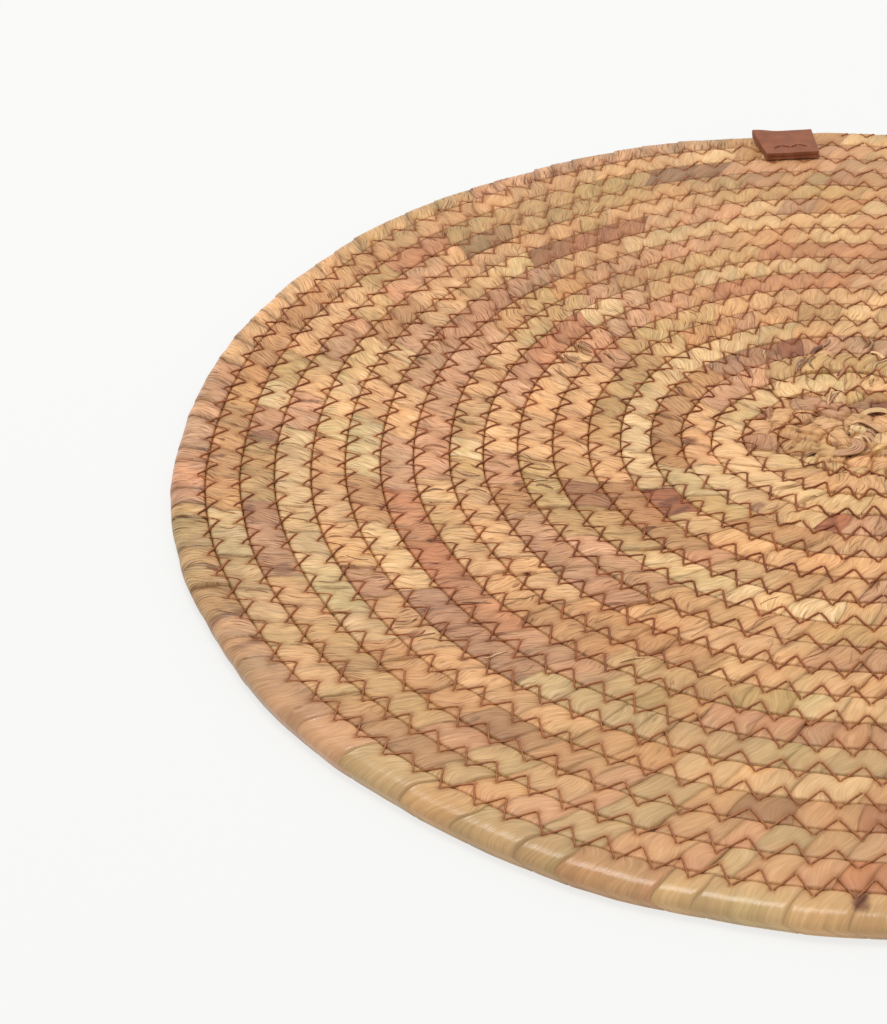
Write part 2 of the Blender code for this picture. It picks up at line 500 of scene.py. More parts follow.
def top_height(turns, across, place):
    """Height of the cord's upper surface over the table."""
    thread, corner, _ = to_sewing(turns, across)
    side = (across - 0.5) * PITCH
    wrap, before, after = wrap_facts(place)
    untidy, rugged = untidy_at(turns), rugged_at(turns)
    step = WRAP_STEP * (1.0 + 1.2 * rugged + 0.8 * glossy_at(turns))
    lift = WRAP_RISE * WRAP_LIFT[wrap] * (1.0 + 2.5 * untidy + 1.5 * rugged)
    lift += step * (before / (before + after) - 0.5) - GAP_DEPTH * crack(place, side)
    lift += waves(place, SWELLS) + (0.00008 + 0.00030 * untidy) * dapple(place, side, 0.0014, 0.006, 43)
    lift -= fade(thread, *PINCH) + fade(corner, *CORNER_PINCH)
    lift -= fade(thread, 0.00005 + 0.00014 * even_at(turns), BROAD_PINCH)
    lift += crumpled(turns, across)
    arch = crown(turns, across) * tail(turns)
    return HEIGHT / 2.0 * (1.0 + arch) + (lift - SETTLED) * arch**0.5


def under_height(turns, across, place):
    """Height of the cord's lower surface: flat where it lies on the table, and let in for the thread."""
    thread, _, _ = to_sewing(turns, across)
    wrap, before, _ = wrap_facts(place)
    lift = fade(thread, *UNDER_PINCH) + fade(before, *UNDER_EDGE) + UNDER_LIFT * (0.5 + 0.5 * WRAP_LIFT[wrap])
    arch = np.minimum(crown(turns, across, RIM_DEPTHS) * FLAT_UNDER, 1.0) * tail(turns)
    return HEIGHT / 2.0 * (1.0 - arch) + lift * arch


def section_places():
    """Shares of the cord's half width, from its inner side over the top to its outer side, and back below."""
    share = np.linspace(-1.0, 1.0, TOP_STEPS + 1)
    top = 0.5 * share * (1.12 - 0.12 * share**2) + 0.5 * np.sin(share * math.pi / 2.0)
    share = np.sin(np.linspace(1.0, -1.0, UNDER_STEPS + 1)[1:-1] * math.pi / 2.0)
    return top, np.sign(share) * np.abs(share) ** 0.7


def ring_places(start, end):
    """Places for the mesh's rings. Each wrap has its own, so that its edge is a real step."""
    edges = np.concatenate([[start], WRAPS[(WRAPS > start + 0.001) & (WRAPS < end - 0.001)], [end]])
    runs = []
    for low, high in zip(edges, edges[1:]):
        step = MIDDLE_STEP if middle_at(turns_at(low)) > 0.0 else ALONG_STEP
        runs.append(np.linspace(low, high - EDGE_STEP, max(round((high - low) / step), 2) + 1))
    return np.concatenate(runs)


# Colour. A stalk's colour holds for several wraps, and each wrap differs a little from the next.

# The stalks: red, green and blue as a screen shows them, how common they are, and how veined.
STALK_KINDS = (
    ("tan", 200, 151, 100, 0.37, 0.35),
    ("pink", 196, 143, 101, 0.18, 0.45),
    ("straw", 208, 167, 114, 0.10, 0.15),
    ("olive", 187, 145, 91, 0.13, 0.50),
    ("brown", 184, 132, 82, 0.14, 0.70),
    ("mauve", 181, 131, 92, 0.05, 0.80),
    ("rust", 180, 120, 78, 0.03, 0.60),
    ("red", 172, 104, 64, 0.00, 0.60),
    ("green", 182, 150, 100, 0.00, 0.30),
)
KIND_NAMES = [kind[0] for kind in STALK_KINDS]
ODD_KINDS = 6  # how many of them a single odd wrap may be
WARM_KINDS = ("tan", "pink", "straw", "brown", "rust", "red")
MIXED_KINDS = ("green", "tan", "pink")  # one after another in a mixed stretch

# Stretches that stand out: row, first and last angle, kind, and the share of the light that is left out.
MARKED_STRETCHES = (
    (2, 148, 200, "mauve", 0.10), (2, 205, 232, "straw", 0.06), (2, 236, 300, "tan", 0.04),
    (3, 100, 150, "straw", 0.02), (3, 160, 285, "straw", -0.08),
    (4, 128, 158, "pink", 0.06), (4, 158, 205, "tan", -0.05), (4, 205, 236, "straw", 0.06),
    (4, 236, 240, "red", 0.25), (4, 240, 260, "straw", 0.08), (4, 260, 269, "red", 0.15),
    (5, 114, 126, "red", 0.38), (5, 126, 148, "mauve", 0.26), (5, 160, 200, "brown", 0.10),
    (6, 110, 182, "straw", 0.06), (6, 182, 213, "straw", 0.0), (6, 213, 227, "red", 0.22),
    (7, 206, 236, "brown", 0.04),
    (8, 158, 200, "tan", -0.04), (8, 201, 209, "rust", 0.18), (8, 209, 216, "olive", 0.12),
    (9, 163, 195, "tan", -0.10), (10, 176, 190, "tan", -0.12), (12, 92, 102, "straw", 0.0),
    (13, 183, 196, "pink", 0.0),
    (14, 122, 138, "red", 0.24), (14, 204, 219, "straw", -0.05), (14, 219, 238, "mauve", 0.12),
    (14, 240, 275, "green", 0.0), (15, 262, 270, "straw", -0.10),
    (16, 84, 112, "mixed", 0.24), (16, 116, 136, "olive", 0.05), (16, 136, 143, "olive", 0.45),
    (16, 186, 225, "straw", 0.16), (16, 236, 246, "brown", 0.35), (16, 250, 261, "mixed", 0.0),
    (16, 261, 266, "brown", 0.40), (16, 272, 276, "red", 0.10),
    (17, 106, 114, "mauve", 0.50), (17, 177, 182, "straw", 0.08), (17, 182, 186, "pink", 0.18),
    (17, 186, 196, "olive", 0.18), (17, 196, 212, "mauve", 0.08), (17, 238, 290, "mixed", 0.04),
    (18, 196, 220, "straw", 0.20), (18, 236, 240.5, "brown", 0.24), (18, 240.5, 270.5, "mixed", 0.0),
    (18, 270.5, 277, "red", 0.0),
    (19, 176, 197, "pink", 0.20), (19, 197, 213, "olive", 0.24), (19, 213, 234, "pink", 0.10),
    (19, 234, 252, "green", -0.08), (19, 252, 258, "pink", 0.04), (19, 258, 275, "green", -0.12),
    (19, 275, 290, "pink", 0.05),
)

# Dark spots: row, angle, place across, half length along the cord and half width in mm, and darkness. The
# small one on row 15 at 231 degrees is painted shade in a hole.
SPOTS = (
    (19, 272.5, 0.30, 1.7, 2.8, 0.72), (19, 227.0, 0.50, 0.4, 4.5, 0.35), (19, 221.3, 0.20, 0.8, 2.0, 0.40),
    (19, 218.0, 0.50, 1.2, 4.5, 0.30), (19, 213.8, 0.50, 1.2, 5.0, 0.45), (18, 190.4, 0.75, 0.8, 2.4, 0.60),
    (17, 209.5, 0.46, 2.3, 2.2, 0.48), (17, 199.5, 0.85, 1.8, 1.4, 0.50), (17, 187.3, 0.50, 2.7, 4.5, 0.45),
    (16, 180.3, 0.50, 0.8, 3.6, 0.65), (15, 231.0, 0.27, 1.0, 1.0, 0.60), (15, 224.7, 0.75, 0.8, 3.0, 0.50),
    (9, 160.0, 0.50, 1.8, 1.6, 0.60), (6, 219.0, 0.50, 1.2, 3.0, 0.60), (6, 223.5, 0.45, 0.9, 2.6, 0.60),
    (5, 122.0, 0.50, 2.0, 2.2, 0.40), (4, 191.0, 0.75, 1.4, 2.4, 0.55), (4, 237.5, 0.80, 1.4, 2.6, 0.60),
    (4, 264.0, 0.55, 1.2, 3.0, 0.40),
)
SPOT_COLOUR = (98, 48, 24)

# The painted shade that darkens the surface near the thread, the seams, the corners and the creases: the
# share of the light that is lost, and how far from its middle that reaches.
THREAD_SHADOW = (0.12, 0.0006)
CORNER_REACH = 0.00050
BROAD_REACH = 0.0013
SEAM_SHADOW_WAVES = ((0.20, 0.007, 66),)
SEAM_REACH = 0.00026
CREASE_SHADOW = (0.7, 0.00045)
SHADOW_TINT = (0.74, 1.06, 1.45)  # how much of a shadow the red, green and blue take

# Patches of another tint: steps along and across, seed, where they start, and what the colours lose.
PATCHES = (
    (0.019, 0.014, 63, 0.0, (0.03, 0.12, 0.14)),
    (0.013, 0.018, 64, 0.1, (0.17, 0.06, 0.14)),
)


def linear(value):
    """A screen colour from 0 to 255 as the renderer's linear share of light."""
    share = np.asarray(value, float) / 255.0
    return np.where(share <= 0.04045, share / 12.92, ((share + 0.055) / 1.055) ** 2.4)


KIND_COLOURS = linear([kind[1:4] for kind in STALK_KINDS])


def stalk_looks():
    """Each wrap's colour and how veined it is."""
    chance = np.random.default_rng(51)
    ends = WRAPS[0] + np.cumsum(chance.uniform(*STALK_LENGTH, 500))
    kinds = chance.choice(len(STALK_KINDS), len(ends), p=[kind[4] for kind in STALK_KINDS])
    numbers = np.arange(len(WRAPS))
    kind = np.where(np.abs(WRAP_ODD) > 0.86, (numbers * 7) % ODD_KINDS, kinds[np.searchsorted(ends, WRAPS)])
    mixed = np.resize([KIND_NAMES.index(name) for name in MIXED_KINDS], len(WRAPS))
    dark = np.zeros(len(WRAPS))
    for row, first, last, name, darkness in MARKED_STRETCHES:
        start, end = place_at(turns_of(row, first)), place_at(turns_of(row, last))
        inside = (WRAPS > start - 0.006) & (WRAPS < end - 0.004)
        kind = np.where(inside, mixed if name == "mixed" else KIND_NAMES.index(name), kind)
        dark = np.where(inside, darkness, dark)
    shade = (1.0 + 0.11 * WRAP_SHADE) * (1.0 - dark)
    warmth = for_each_wrap(52)[:, None] * np.array((0.015, -0.03, -0.08))
    veins = np.array([kind[5] for kind in STALK_KINDS])[kind] + 0.25 * for_each_wrap(53)
    return KIND_COLOURS[kind] * (1.0 + warmth) * shade[:, None], np.clip(veins, 0.0, 1.0)


WRAP_COLOUR, WRAP_VEINS = stalk_looks()
LUMP_COLOUR = WRAP_COLOUR[20:20 + len(LUMPS)]


def stalk_colour(turns, across, place, lump):
    """The stalks' colour with a painted sheen on each wrap, without what the sewing, seams and gaps do to it.
    """
    side = (across - 0.5) * PITCH
    wrap, before, after = wrap_facts(place)
    even, rugged = even_at(turns)[..., None], rugged_at(turns)[..., None]
    colour = WRAP_COLOUR[wrap]
    colour = colour + (LUMP_COLOUR[lump] - colour) * smoothstep(0.2, 0.5, middle_at(turns)[..., None])
    colour = colour + (WRAP_COLOUR.mean(0) - colour) * 0.32 * even
    # Painted sheen: each wrap is lighter in its middle and darker towards its edges, more so on the rough
    # rim.
    painted_sheen = 4.0 * before * after / (before + after) ** 2 - 0.6
    colour = colour * (1.05 - 0.09 * even + 0.05 * rugged) * (1.0 + (0.08 + 0.26 * rugged) * painted_sheen[..., None])
    cloud = dapple(place, side, 0.012, 0.008, 61) + 0.7 * dapple(place, side, 0.0023, 0.011, 62)
    colour = colour * (1.0 + 0.10 * cloud)[..., None]
    for along, aside, seed, start, lost in PATCHES:
        patch = np.clip(dapple(place, side, along, aside, seed) - start, 0.0, 1.0)
        colour = colour * (1.0 - patch[..., None] * np.array(lost))
    return colour


def surface_colour(turns, across, place):
    """The colour of the surface: the stalks, with painted shade towards the seams, the thread, its corners,
    the cracks, and the middle's creases and hollows.
    """
    x, y = place_on_plan(turns, across)
    lump, crease = lumps_at(x, y)
    colour = stalk_colour(turns, across, place, lump)
    thread, corner, _ = to_sewing(turns, across)
    # Painted shade: beside the thread the stalks turn a little darker and redder.
    colour = colour * (1.0 - bump_at(thread, 0.0, 0.0012)[..., None] * np.array((0.02, 0.07, 0.10)))
    even = even_at(turns)
    seam = np.minimum(across, 1.0 - across * (1.0 - free_at(turns))) * PITCH
    seam_shadow = (0.34 + waves(length_at(turns), SEAM_SHADOW_WAVES)) * (1.0 - 0.95 * even)
    shadow = fade(thread, *THREAD_SHADOW) + fade(thread, 0.09 + 0.08 * even, BROAD_REACH)
    shadow += fade(seam, seam_shadow, SEAM_REACH) + fade(corner, 0.55 - 0.2 * even, CORNER_REACH)
    shadow += (0.75 - 0.25 * even) * crack(place, (across - 0.5) * PITCH)
    shadow = np.clip(shadow, 0.0, 0.9)
    shadow = np.maximum(shadow, middle_at(turns) * (fade(crease, *CREASE_SHADOW) + 0.8 * hollow_at(x, y)))
    colour = colour * (1.0 - shadow[..., None] * np.array(SHADOW_TINT))
    for row, angle, centre, half_length, half_width, darkness in SPOTS:
        away = (place_at(turns) - place_at(turns_of(row, angle))) * 1000.0 / half_length
        aside = (across - centre) * PITCH
        spot = smoothstep(1.4, 0.75, (away**4 + (aside * 1000.0 / half_width) ** 4) ** 0.25)
        spot = spot * (0.9 + 0.20 * dapple(place, aside, 0.0007, 0.004, 65))
        spot = np.clip(1.3 * darkness * spot, 0.0, 0.97)
        colour = colour + (linear(SPOT_COLOUR) - colour) * spot[..., None]
    return np.clip(colour, 0.008, 0.95)


# Meshes from rings of points.

def add_object(name, data, material=None):
    obj = bpy.data.objects.new(name, data)
    bpy.context.scene.collection.objects.link(obj)
    if material:
        data.materials.append(material)
    return obj


def tube_mesh(name, points, uv):
    """Closed tubes, from points in (tube, ring, point) order. uv has one more to a ring, where it closes."""
    tubes, rings, around = points.shape[:3]
    grid = np.meshgrid(np.arange(tubes), np.arange(rings - 1), np.arange(around), indexing="ij")
    tube, ring, point = [a.ravel() for a in grid]
    first = (tube * rings + ring) * around
    here, beside = first + point, first + (point + 1) % around
    quads = np.stack([here, beside, beside + around, here + around], -1)
    first = (tube * rings + ring) * (around + 1) + point
    corners = np.stack([first, first + 1, first + around + 2, first + around + 1], -1)
    low = np.arange(tubes)[:, None] * rings * around
    ends = np.concatenate([low + np.arange(around)[::-1], low + (rings - 1) * around + np.arange(around)])
    mesh = bpy.data.meshes.new(name)
    mesh.from_pydata(points.reshape(-1, 3), [], [*quads.tolist(), *ends.tolist()])
    mesh.shade_smooth()
    layer = mesh.uv_layers.new(name="fibres")
    values = np.concatenate([uv.reshape(-1, 2)[corners.ravel()], np.zeros((ends.size, 2))])
    layer.data.foreach_set("uv", values.reshape(-1).astype(np.float32))
    mesh.validate()
    return mesh


def sweep(line, wide, high, sides):
    """Rings of points round lines, for a strand with these half sizes, and how far along each ring is."""
    ahead = np.gradient(line, axis=1)
    ahead /= np.linalg.norm(ahead, axis=-1, keepdims=True)
    across = np.cross(ahead, (0.0, 0.0, 1.0))
    across /= np.maximum(np.linalg.norm(across, axis=-1, keepdims=True), 1e-9)
    up = np.cross(across, ahead)
    angle = -np.arange(sides)[:, None] / sides * 2.0 * math.pi
    wide, high = (np.broadcast_to(size, line.shape[:2])[..., None, None] for size in (wide, high))
    rings = line[:, :, None] + wide * across[:, :, None] * np.cos(angle)
    rings = rings + high * up[:, :, None] * np.sin(angle)
    steps = np.linalg.norm(np.diff(line, axis=1), axis=-1)
    return rings, np.concatenate([np.zeros((len(line), 1)), np.cumsum(steps, 1)], 1)


def paint(mesh, name, *channels):
    """Stores up to four numbers for each point, for the material to read as a colour."""
    layer = mesh.color_attributes.new(name, "FLOAT_COLOR", "POINT")
    values = np.ones((len(mesh.vertices), 4), np.float32)
    for channel, numbers in enumerate(channels):
        values[:, channel] = numbers.ravel()
    layer.data.foreach_set("color", values.ravel())


def dress(piece, replaced=None):
    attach(piece, "root")
    if replaced:
        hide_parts(replaced)
    return piece


# The coiled cord.

def make_coil_piece(name, first, last, material):
    """The cord from one number of turns to another. Each ring of points follows a fibre, at its slant."""
    places = ring_places(place_at(first), place_at(last))
    top, under = section_places()
    place, share = np.meshgrid(places, np.concatenate([top, under]), indexing="ij")
    on_top = np.arange(share.shape[1]) < len(top)
    inner, outer = side_radii(turns_at(places))
    width = (outer - inner)[:, None]
    side = share * width / 2.0
    turns = turns_at(np.where(on_top, fibre_along(place, side), fibre_along(place, -side)))
    turns = np.clip(turns, -0.97, END_TURNS)
    free = free_at(turns)
    across = 0.5 + 0.5 * share * (SNUG + (1.0 - SNUG) * free * (share > 0.0))
    x, y = place_on_plan(turns, across)
    z = np.where(on_top, top_height(turns, across, place), under_height(turns, across, place))
    wrap, before, _ = wrap_facts(place)
    middle = middle_at(turns)

    drawn = place + 0.28 * WRAP_TILT[wrap] * side + 0.0019 * WRAP_ARCH[wrap] * share**2
    drawn = drawn + 0.6 * to_sewing(turns, across)[2]
    around = np.where(on_top, side, width - side)
    in_lump = on_top & (middle > 0.3)
    lump_turn = LUMP_TURN[lumps_at(x, y)[0]]
    drawn = np.where(in_lump, x * np.cos(lump_turn) + y * np.sin(lump_turn), drawn)
    around = np.where(in_lump, y * np.cos(lump_turn) - x * np.sin(lump_turn), around)
    around = np.hstack([around, 1.5 * width])
    drawn = np.hstack([drawn, drawn[:, :1]])
    uv = np.stack([drawn, around], -1) * 1000.0
    mesh = tube_mesh(name, np.stack([x, y, z], -1)[None], uv[None])

    even, rugged = even_at(turns), rugged_at(turns)
    near = smoothstep(-0.09, -0.14, y)
    on_rim = free * smoothstep(0.10, 0.45, across)
    smooth = np.maximum(0.75 * even, 0.85 * on_rim * near) + 0.15 * smoothstep(-0.06, 0.0, x)
    smooth -= 0.4 * smoothstep(-0.02, -0.11, x) * (1.0 - on_rim * near) + 0.7 * rugged
    colour = surface_colour(turns, across, place)
    paint(mesh, "tint", *np.moveaxis(colour, -1, 0), on_rim * (0.3 + 0.7 * near))
    # Painted shade: how dark the line in the crease at each wrap's edge is. It is stronger at cracks, on the
    # rim and on the inner rows, and there is none in the crumpled middle.
    edge = 0.32 + 0.28 * WRAP_SHADE[wrap] + 0.6 * WRAP_GAPE[wrap]
    edge += 0.4 * rugged + 0.4 * glossy_at(turns) + 0.25 * smoothstep(9.0, 6.0, turns)
    edge = edge * (1.0 - middle) * (1.0 - 0.5 * even)
    paint(mesh, "wrap", before * 1000.0, edge, np.maximum(WRAP_VEINS[wrap], middle), smooth)
    return dress(add_object(name, mesh, material), "coiled_mat")


# Fibres and strips that stand off the cord: how many, first and last row and angle, half width and lift.
LOOSE_STRIPS = (
    (260, 1, 19, 0, 360, 0.00014, 0.0003),
    (16, 2, 5, 76, 128, 0.00045, 0.0009),
    (12, 12, 15, 222, 246, 0.00035, 0.0006),
    (10, 9, 12, 190, 206, 0.00035, 0.0006),
    (8, 8, 9, 152, 166, 0.00045, 0.0009),
)


def make_strips(name, line, start, sizes, sides, colours, vein_and_smooth, material):
    """Strips of stalk along lines. start is the place that their fibres have, and sizes are half sizes."""
    rings, along = sweep(line, *sizes, sides)
    angle = np.linspace(0.0, 2.0 * math.pi, sides + 1)
    u = start[..., None] + sizes[0][..., None] * np.cos(angle)
    uv = np.stack([u, np.broadcast_to(along[..., None], u.shape)], -1) * 1000.0
    mesh = tube_mesh(name, rings, uv)
    plain = np.ones(rings.shape[:3])
    colour = np.broadcast_to(colours[:, None, None], rings.shape)
    paint(mesh, "tint", *np.moveaxis(colour, -1, 0), 0.0 * plain)
    veins, smooth = vein_and_smooth
    paint(mesh, "wrap", 9.0 * plain, 0.0 * plain, veins * plain, smooth * plain)
    return dress(add_object(name, mesh, material))


def make_loose_strips(material):
    chance = np.random.default_rng(71)
    strips = []
    for count, first, last, low, high, wide, most in LOOSE_STRIPS:
        rows = np.floor(np.sqrt(chance.uniform(first**2, (last + 1) ** 2, count)))
        turns = np.clip(turns_of(rows, chance.uniform(low, high, count)), -0.6, END_TURNS - 0.25)
        wide = wide * chance.uniform(0.5, 1.0, count)
        strips.append([place_at(turns), wide, most * chance.uniform(0.3, 1.0, count)])
    middle, wide, lift = np.concatenate(strips, 1)[..., None]
    shown = even_at(turns_at(middle[:, 0])) < 0.6
    middle, wide, lift = middle[shown], wide[shown], lift[shown]
    count = len(middle)
    share = np.linspace(0.0, 1.0, 10)
    start, end = chance.uniform(-0.95, -0.45, (count, 1)), chance.uniform(0.45, 0.95, (count, 1))
    side = (start + (end - start) * share) * PITCH / 2.0
    drift, bow = chance.uniform(-0.0030, 0.0030, (count, 1)), chance.uniform(-0.0016, 0.0016, (count, 1))
    place = middle + drift * (share - 0.5) + bow * np.sin(share * math.pi)
    turns = np.clip(turns_at(fibre_along(place, side)), -0.9, END_TURNS - 0.01)
    across = 0.5 + side / PITCH
    x, y = place_on_plan(turns, across)
    z = top_height(turns, across, place) + lift * np.sin(share * math.pi) ** 0.7
    z -= 0.00020 * (1.0 - share) * share + 0.00030 * ((share == 0.0) | (share == 1.0))
    sizes = wide * (0.25 + 0.75 * np.sin(share * math.pi) ** 0.8), 0.00008
    kinds = chance.choice([KIND_NAMES.index(name) for name in WARM_KINDS], count)
    colours = KIND_COLOURS[kinds] * chance.uniform(0.55, 1.05, (count, 1))
    line = np.stack([x, y, z], -1)
    return make_strips("loose_strips", line, place, sizes, 6, colours, (0.5, 0.0), material)


# Strips folded over the middle and over a loose place beyond it: kind, share of its light, half width, and
# the places that each runs through, with their heights over the mat. Lengths are in millimetres here.
FOLDED_STRIPS = (
    ("pink", 0.85, 2.3, (
        (-8.6, -9.4, -1), (-4.6, -10, 0.5), (-0.8, -10, 0.8), (1.3, -7.8, 0.9), (1, -4.6, 0.9),
        (-0.8, -3.2, 0.4), (-2.8, -3.6, -1))),
    ("pink", 0.85, 0.75, ((-1.4, 1.6, -0.8), (2, 0.9, 0.8), (4.6, -2.2, 0.6), (6.4, -6, -1))),
    ("tan", 0.90, 0.75, ((-1.6, 0.2, -0.8), (1.4, -0.5, 0.8), (3.6, -3.4, 0.6), (5.2, -6.6, -1))),
    ("mauve", 0.90, 0.70, ((-1.2, 3, -0.8), (2.8, 2.2, 0.7), (5.8, -1.2, 0.5), (7.4, -5, -1))),
    ("tan", 0.95, 1.1, (
        (-3.8, 4.6, -1), (-0.1, 7, 0.6), (2.9, 5.6, 0.8), (5.9, 2.6, 0.6), (8.6, 1.6, -1))),
    ("straw", 0.95, 1.4, ((-0.4, 9.6, -1), (3.4, 12.6, 0.4), (7.4, 13, 0.5), (11, 11.6, -1))),
    ("brown", 0.55, 0.6, (
        (-6.6, 2.4, -0.8), (-5.2, 0.2, 0.5), (-3.6, -2.4, 0.3), (-2, 0.2, 0.5), (-1.4, 3.2, -0.8))),
    ("brown", 0.70, 0.9, ((-14.9, -12.9, -1), (-11.6, -10.3, 0.3), (-9.2, -8.4, -1))),
    ("red", 0.40, 0.9, ((-15.2, 36.6, -1), (-13.8, 43, 0.5), (-11.2, 45.6, 0.6), (-8, 45.2, -1))),
    ("tan", 1.00, 2, ((-14, 39.6, -1), (-10.4, 42, 0.4), (-6.8, 41.6, -1))),
    ("straw", 1.10, 0.9, ((-0.2, 45.9, -1), (3.7, 43.6, 0.5), (6.6, 40.6, 0.5), (8.5, 37.8, -1))),
    ("straw", 1.05, 0.9, ((0.2, 42.6, -1), (3.6, 41.4, 0.5), (6.2, 38.2, -1))),
    ("brown", 0.60, 0.45, (
        (-8.2, 45.4, -1), (-7, 40.6, 0.4), (-5.4, 37.8, 0.3), (-3.4, 40.6, 0.4), (-2.6, 44, -1))),
    ("rust", 0.80, 0.8, ((-7.2, 29.4, -1), (-4.6, 33.6, 0.5), (-1, 36.6, -1))),
    ("brown", 0.40, 0.5, ((-0.9, 30.6, -1), (0.8, 34, 0.3), (4.6, 34.9, -1))),
    ("brown", 0.30, 0.55, ((-12.9, 33.9, -0.8), (-11, 36, 0.1), (-9.4, 37.5, -0.8))),
)
FOLDED_BASE = HEIGHT - 0.0003


def make_folded_strips(material):
    share = np.linspace(0.0, 1.0, 25)
    lines, widths, colours = [], [], []
    for name, light, wide, places in FOLDED_STRIPS:
        places = np.array(places) / 1000.0
        knots = np.linspace(0.0, 1.0, len(places))
        line = np.stack([np.interp(share, knots, places[:, axis]) for axis in range(3)], -1)
        for _ in range(12):
            line[1:-1] = (line[:-2] + 2.0 * line[1:-1] + line[2:]) / 4.0
        lines.append(line + (0.0, 0.0, FOLDED_BASE))
        widths.append(wide / 1000.0 * (0.40 + 0.45 * np.sin(share * math.pi) ** 0.5))
        colours.append(KIND_COLOURS[KIND_NAMES.index(name)] * light)
    lines, widths, colours = np.array(lines), np.array(widths), np.array(colours)
    sizes = widths, 0.00012 + 0.16 * widths
    start = 0.013 * np.arange(len(lines))[:, None]
    return make_strips("folded_strips", lines, start, sizes, 10, colours, (1.0, -0.3), material)


# The sewing thread.

def faint_at(leg):
    """How deep each leg lies between the stalks: every second leg at the left, the others at the far side."""
    angle = angle_at(CORNER_TURNS[leg])
    return np.where(leg % 2 == 0, bulge(angle, 0.85, 118.0, 32.0), bulge(angle, 0.85, 200.0, 27.0))


def thread_line(upper):
    """The middle of the thread, dipping into the cord at each corner, and its radius there."""
    steps = np.array((0.0, 0.09, 0.3, 0.5, 0.7, 0.91)) if upper else np.array((0.0, 0.1, 0.5, 0.9))
    leg = np.arange(len(CORNER_TURNS) - 1)[:, None]
    turns = CORNER_TURNS[leg] + (CORNER_TURNS[leg + 1] - CORNER_TURNS[leg]) * steps
    side = CORNER_SIDE[leg] + (CORNER_SIDE[leg + 1] - CORNER_SIDE[leg]) * steps
    inside = side < 0.0
    turns, across = np.where(inside, turns - 1.0, turns), np.where(inside, 1.0, 0.0) + side / PITCH
    x, y = place_on_plan(turns, across)
    if not upper:
        z = THREAD_RADIUS + UNDER_RISE * (steps == 0.0) + np.zeros_like(x)
        return np.stack([x, y, z], -1).reshape(1, -1, 3), THREAD_RADIUS
    surface = top_height(turns, across, fibre_place(place_at(turns), (across - 0.5) * PITCH))
    near, far = surface[:, 1:2], surface[:, -1:]
    bridge = near + (far - near) * steps - THREAD_SAG * 4.0 * steps * (1.0 - steps)
    faint = faint_at(leg)
    z = np.maximum(surface, bridge) + THREAD_RADIUS * (0.75 - 0.8 * faint)
    z[:, 0] = surface[:, 0] - 0.0002
    radius = THREAD_RADIUS * (1.0 - 0.4 * faint) * (1.0 - 0.15 * even_at(turns))
    return np.stack([x, y, z], -1).reshape(1, -1, 3), radius.reshape(1, -1)


def make_thread(name, line, radius, sides, slot, material):
    rings, along = sweep(line, radius, radius, sides)
    around = np.linspace(0.0, 1.0, sides + 1)
    u = np.broadcast_to(along[..., None] * 1000.0, (*along.shape, sides + 1))
    mesh = tube_mesh(name, rings, np.stack([u, np.broadcast_to(around, u.shape)], -1))
    paint(mesh, "pale", even_by(rings[..., 1]))
    return dress(add_object(name, mesh, material))


# The leather tab.

def tab_profile():
    """The folded strip from the side: its outline, from the inner end's underside round the fold."""
    thick = TAB_HIGH[2] - TAB_LOW[2]
    outer, inner = thick / 2.0, thick / 2.0 - LEATHER
    fold = TAB_DEPTH - outer
    turn = [math.radians(a) for a in range(-90, 91, 15)]
    outside = [(fold + outer * math.cos(a), outer + outer * math.sin(a)) for a in turn]
    inside = [(fold + inner * math.cos(a), outer + inner * math.sin(a)) for a in reversed(turn)]
    along = np.linspace(0.0, fold, 16)[:-1]
    bottom, slit_top = [[(x, z) for x in along] for z in (0.0, thick - LEATHER)]
    top, slit_bottom = [[(x, z) for x in along[::-1]] for z in (thick, LEATHER)]
    return bottom + outside + top + slit_top + inside + slit_bottom


def tab_points(x, y, z):
    """Points of the tab in the mat's frame, from depth, place across and height. It is skewed, and curls."""
    left = y / TAB_WIDTH + 0.5
    y = y + left * (TAB_SKEW[0] * x / TAB_DEPTH + TAB_SKEW[1]) + TAB_SKEW[2] * (1.0 - left)
    curl = smoothstep(0.45, 1.0, x / TAB_DEPTH) * smoothstep(0.55, 1.0, left)
    lift = TAB_CURL * curl + 0.00012 * mottle(x, y + 0.1, 0.006, 0.006, 81)
    z = z + lift * smoothstep(0.0, 0.001, z)
    angle, turn = math.radians(END_ANGLE), math.radians(TAB_DIRECTION)
    start = np.array((TAB_INNER_RADIUS * math.cos(angle), TAB_INNER_RADIUS * math.sin(angle), TAB_LOW[2]))
    out = np.array((math.cos(turn), math.sin(turn), 0.0))
    across = np.array((-math.sin(turn), math.cos(turn), 0.0))
    return start + x[..., None] * out + y[..., None] * across + z[..., None] * np.array((0.0, 0.0, 1.0))


def make_tab(material):
    x, z = np.array(tab_profile()).T
    across = np.linspace(-0.5, 0.5, 25)[:, None] * TAB_WIDTH
    rings = tab_points(*np.broadcast_arrays(x, across, z))
    mesh = tube_mesh("tab_leather", rings[None], np.zeros((1, rings.shape[0], rings.shape[1] + 1, 2)))
    mesh.set_sharp_from_angle(angle=math.radians(40.0))
    return dress(add_object("tab_leather", mesh, material), "leather_tab")


def make_tab_stitches(material):
    """The thread that holds the tab, sunk into the leather at each corner of its zigzag."""
    count, depth = np.array(TAB_STITCHES).T
    corners = np.arange(len(count))
    steps = np.linspace(0.0, corners[-1], 8 * corners[-1] + 1)
    x = np.interp(steps, corners, depth)
    y = np.interp(steps, corners, count) * TAB_STITCH_WIDTH
    z = TAB_HIGH[2] - TAB_LOW[2] + TAB_THREAD_RISE - fade(steps - np.round(steps), TAB_STITCH_DEPTH, 0.09)
    return make_thread("tab_stitches", tab_points(x, y, z)[None], TAB_THREAD_RADIUS, 6, "leather", material)


# Materials.

